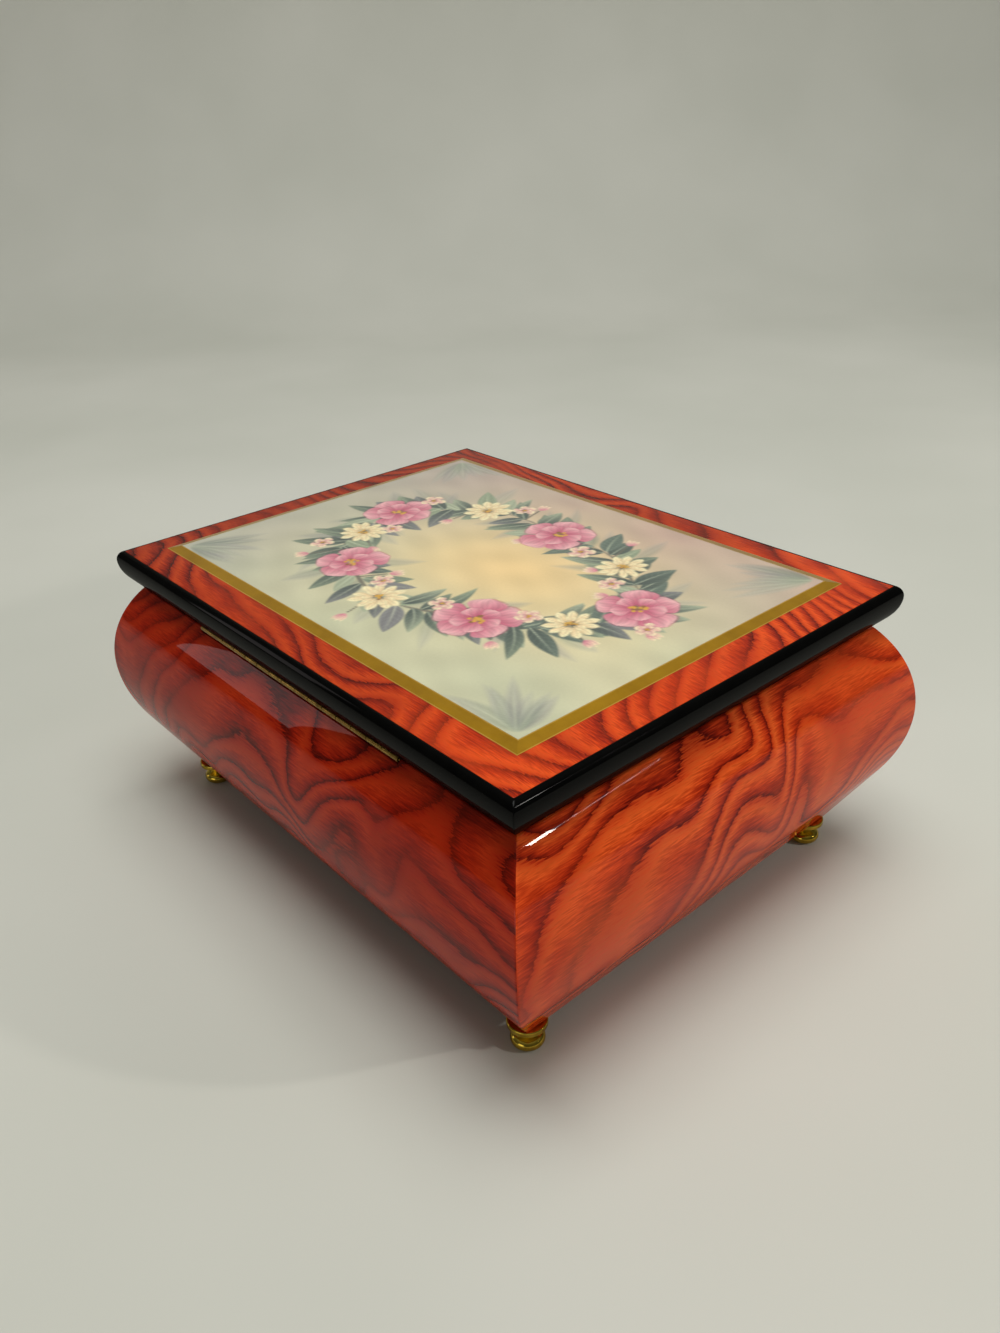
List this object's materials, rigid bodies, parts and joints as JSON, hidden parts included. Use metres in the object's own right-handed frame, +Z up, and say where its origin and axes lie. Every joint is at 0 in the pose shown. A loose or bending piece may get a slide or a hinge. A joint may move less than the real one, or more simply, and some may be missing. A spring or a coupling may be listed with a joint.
{
  "type": "jewelry music box",
  "caption": "Rectangular keepsake box with bulging veneered walls, a hinged lid with an inlaid picture, turned feet and a wind-up musical movement under a clear cover.",
  "frame": {"origin": "on the table under the middle of the box", "axes": "+Z up, X along the hinge, +Y towards the hinged back"},
  "size_m": [0.218, 0.171, 0.0963],
  "materials": {
    "burl_veneer": "red burl veneer under deep gloss lacquer",
    "black_lacquer": "black gloss lacquer on wood",
    "gold_inlay": "satin gold inlay band",
    "picture_panel": "printed veneer under gloss lacquer",
    "polished_brass": "polished brass",
    "steel": "bright steel",
    "cast_base": "cast and plated bedplate",
    "plain_wood": "plain wood, sanded",
    "velvet": "dark red velvet",
    "clear_acrylic": "clear acrylic"
  },
  "bodies": {
    "case": {"wall_front": "burl_veneer", "wall_back": "burl_veneer", "wall_left": "burl_veneer", "wall_right": "burl_veneer", "bottom_panel": "plain_wood", "foot_front_left": "polished_brass", "foot_front_right": "polished_brass", "foot_back_left": "polished_brass", "foot_back_right": "polished_brass", "hinge_leaf_case": "polished_brass", "hinge_pin": "polished_brass", "divider_main": "velvet", "divider_cross": "velvet", "cover_ledge_back": "plain_wood", "cover_ledge_front": "plain_wood", "ring_ledge_back": "plain_wood", "ring_ledge_front": "plain_wood", "ring_floor": "plain_wood", "movement_cover": "clear_acrylic", "floor_pad": "velvet", "lining_front": "velvet", "lining_back": "velvet", "lining_left": "velvet", "lining_divider": "velvet", "ring_roll_1": "velvet", "ring_roll_2": "velvet", "ring_roll_3": "velvet", "ring_roll_4": "velvet", "ring_roll_5": "velvet", "bedplate": "cast_base", "comb": "steel", "comb_screw_1": "polished_brass", "comb_screw_2": "polished_brass", "bearing_post_left": "steel", "bearing_post_right": "steel", "governor_bracket": "steel", "stop_guide": "polished_brass"},
    "lid": {"lid_board": "black_lacquer", "lid_veneer": "burl_veneer", "lid_gold_band": "gold_inlay", "lid_picture": "picture_panel", "lid_lining": "velvet", "hinge_leaf_lid": "polished_brass"},
    "stop": {"stop_rod": "steel"},
    "winding": {"winding_arbor": "steel", "winding_key": "polished_brass"},
    "barrel": {"spring_barrel": "polished_brass"},
    "cylinder": {"pinned_cylinder": "polished_brass", "drive_pinion": "steel", "cylinder_gear": "polished_brass"},
    "governor": {"governor_arbor": "steel", "worm_wheel": "polished_brass"},
    "fan": {"worm_shaft": "steel", "fan": "polished_brass"}
  },
  "joints": [
    {"name": "lid_hinge", "type": "hinge", "parent": "case", "child": "lid", "pos_m": [0, 0.0738, 0.0808], "axis": [-1, 0, 0], "range_deg": [0, 95]},
    {"name": "stop_slide", "type": "slide", "parent": "case", "child": "stop", "axis": [0, 0, 1], "range_m": [0, 0.003]},
    {"name": "winding_turn", "type": "hinge", "parent": "case", "child": "winding", "pos_m": [0.039, 0.027, 0.017], "axis": [0, 0, 1], "continuous": true},
    {"name": "cylinder_turn", "type": "hinge", "parent": "case", "child": "cylinder", "pos_m": [0.055, 0.027, 0.028], "axis": [1, 0, 0], "continuous": true},
    {"name": "barrel_turn", "type": "hinge", "parent": "case", "child": "barrel", "pos_m": [0.039, 0.027, 0.017], "axis": [0, 0, 1], "continuous": true},
    {"name": "governor_turn", "type": "hinge", "parent": "case", "child": "governor", "pos_m": [0.055, 0.0382, 0.028], "axis": [1, 0, 0], "continuous": true},
    {"name": "fan_turn", "type": "hinge", "parent": "case", "child": "fan", "pos_m": [0.0705, 0.0428, 0.017], "axis": [0, 0, 1], "continuous": true}
  ],
  "couplings": [
    {"joint": "stop_slide", "follows": "lid_hinge", "m_per_rad": 0.0018},
    {"joint": "barrel_turn", "follows": "cylinder_turn", "ratio": 0.33333},
    {"joint": "governor_turn", "follows": "cylinder_turn", "ratio": -2.5},
    {"joint": "fan_turn", "follows": "cylinder_turn", "ratio": 40}
  ]
}
